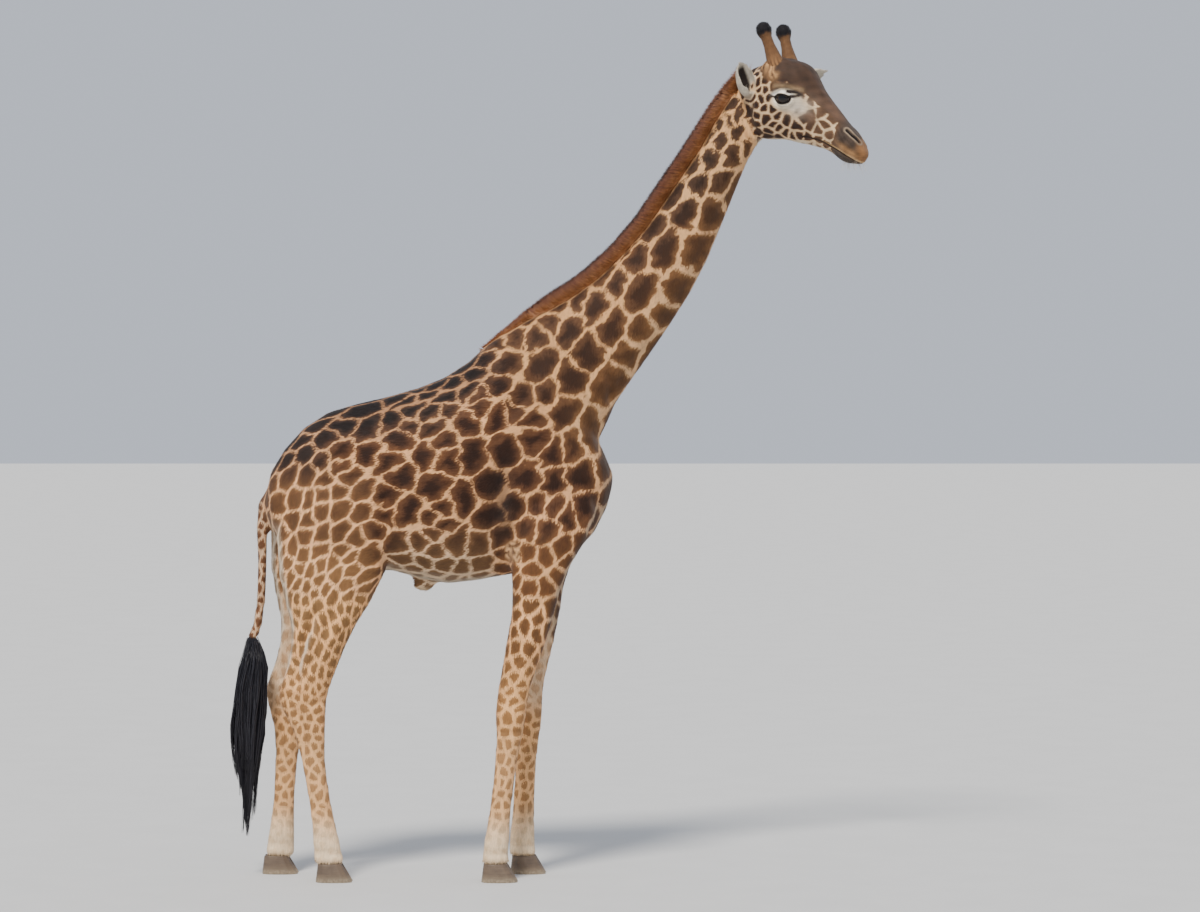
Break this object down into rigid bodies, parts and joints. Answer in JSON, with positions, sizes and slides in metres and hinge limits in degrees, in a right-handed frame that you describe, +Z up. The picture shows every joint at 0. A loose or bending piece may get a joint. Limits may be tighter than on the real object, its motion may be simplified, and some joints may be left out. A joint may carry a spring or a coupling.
{
  "type": "giraffe",
  "caption": "Life-size still model of a young bull giraffe, standing square with its head turned a little to its right, with a net-patterned coat and a dark tail tuft",
  "frame": {"origin": "centre of the footprint of the whole body, at the level of the hoof soles", "axes": "+X is the way the trunk faces, +Y is the animal's left, +Z is up"},
  "size_m": [3.1672, 0.7034, 4.2662],
  "materials": {
    "coat": "short flat hair, brown patches parted by a cream net",
    "leg_coat": "short flat hair, small tan spots on cream, fading towards the hoof",
    "ear": "thin skin under short whitish hair",
    "ossicone": "skin-covered bone with short ochre hair and a black tuft",
    "mane": "upright stiff red-brown hair",
    "tail_hair": "long coarse blue-black hair",
    "eye": "wet, dark brown",
    "hoof": "horn, grey-brown, dusty"
  },
  "bodies": {
    "root": {"trunk": "coat", "neck_lower": "coat", "neck_upper": "coat", "head": "coat", "ear_left": "ear", "ear_right": "ear", "eye_left": "eye", "eye_right": "eye", "ossicone_left": "ossicone", "ossicone_right": "ossicone", "mane": "mane", "tail": "coat", "tail_tuft": "tail_hair", "leg_front_left_lower": "leg_coat", "leg_front_left_upper": "leg_coat", "leg_front_right_lower": "leg_coat", "leg_front_right_upper": "leg_coat", "leg_hind_left_lower": "leg_coat", "leg_hind_left_upper": "leg_coat", "leg_hind_right_lower": "leg_coat", "leg_hind_right_upper": "leg_coat", "hoof_front_left_inner": "hoof", "hoof_front_left_outer": "hoof", "hoof_front_right_inner": "hoof", "hoof_front_right_outer": "hoof", "hoof_hind_left_inner": "hoof", "hoof_hind_left_outer": "hoof", "hoof_hind_right_inner": "hoof", "hoof_hind_right_outer": "hoof"}
  },
  "joints": []
}
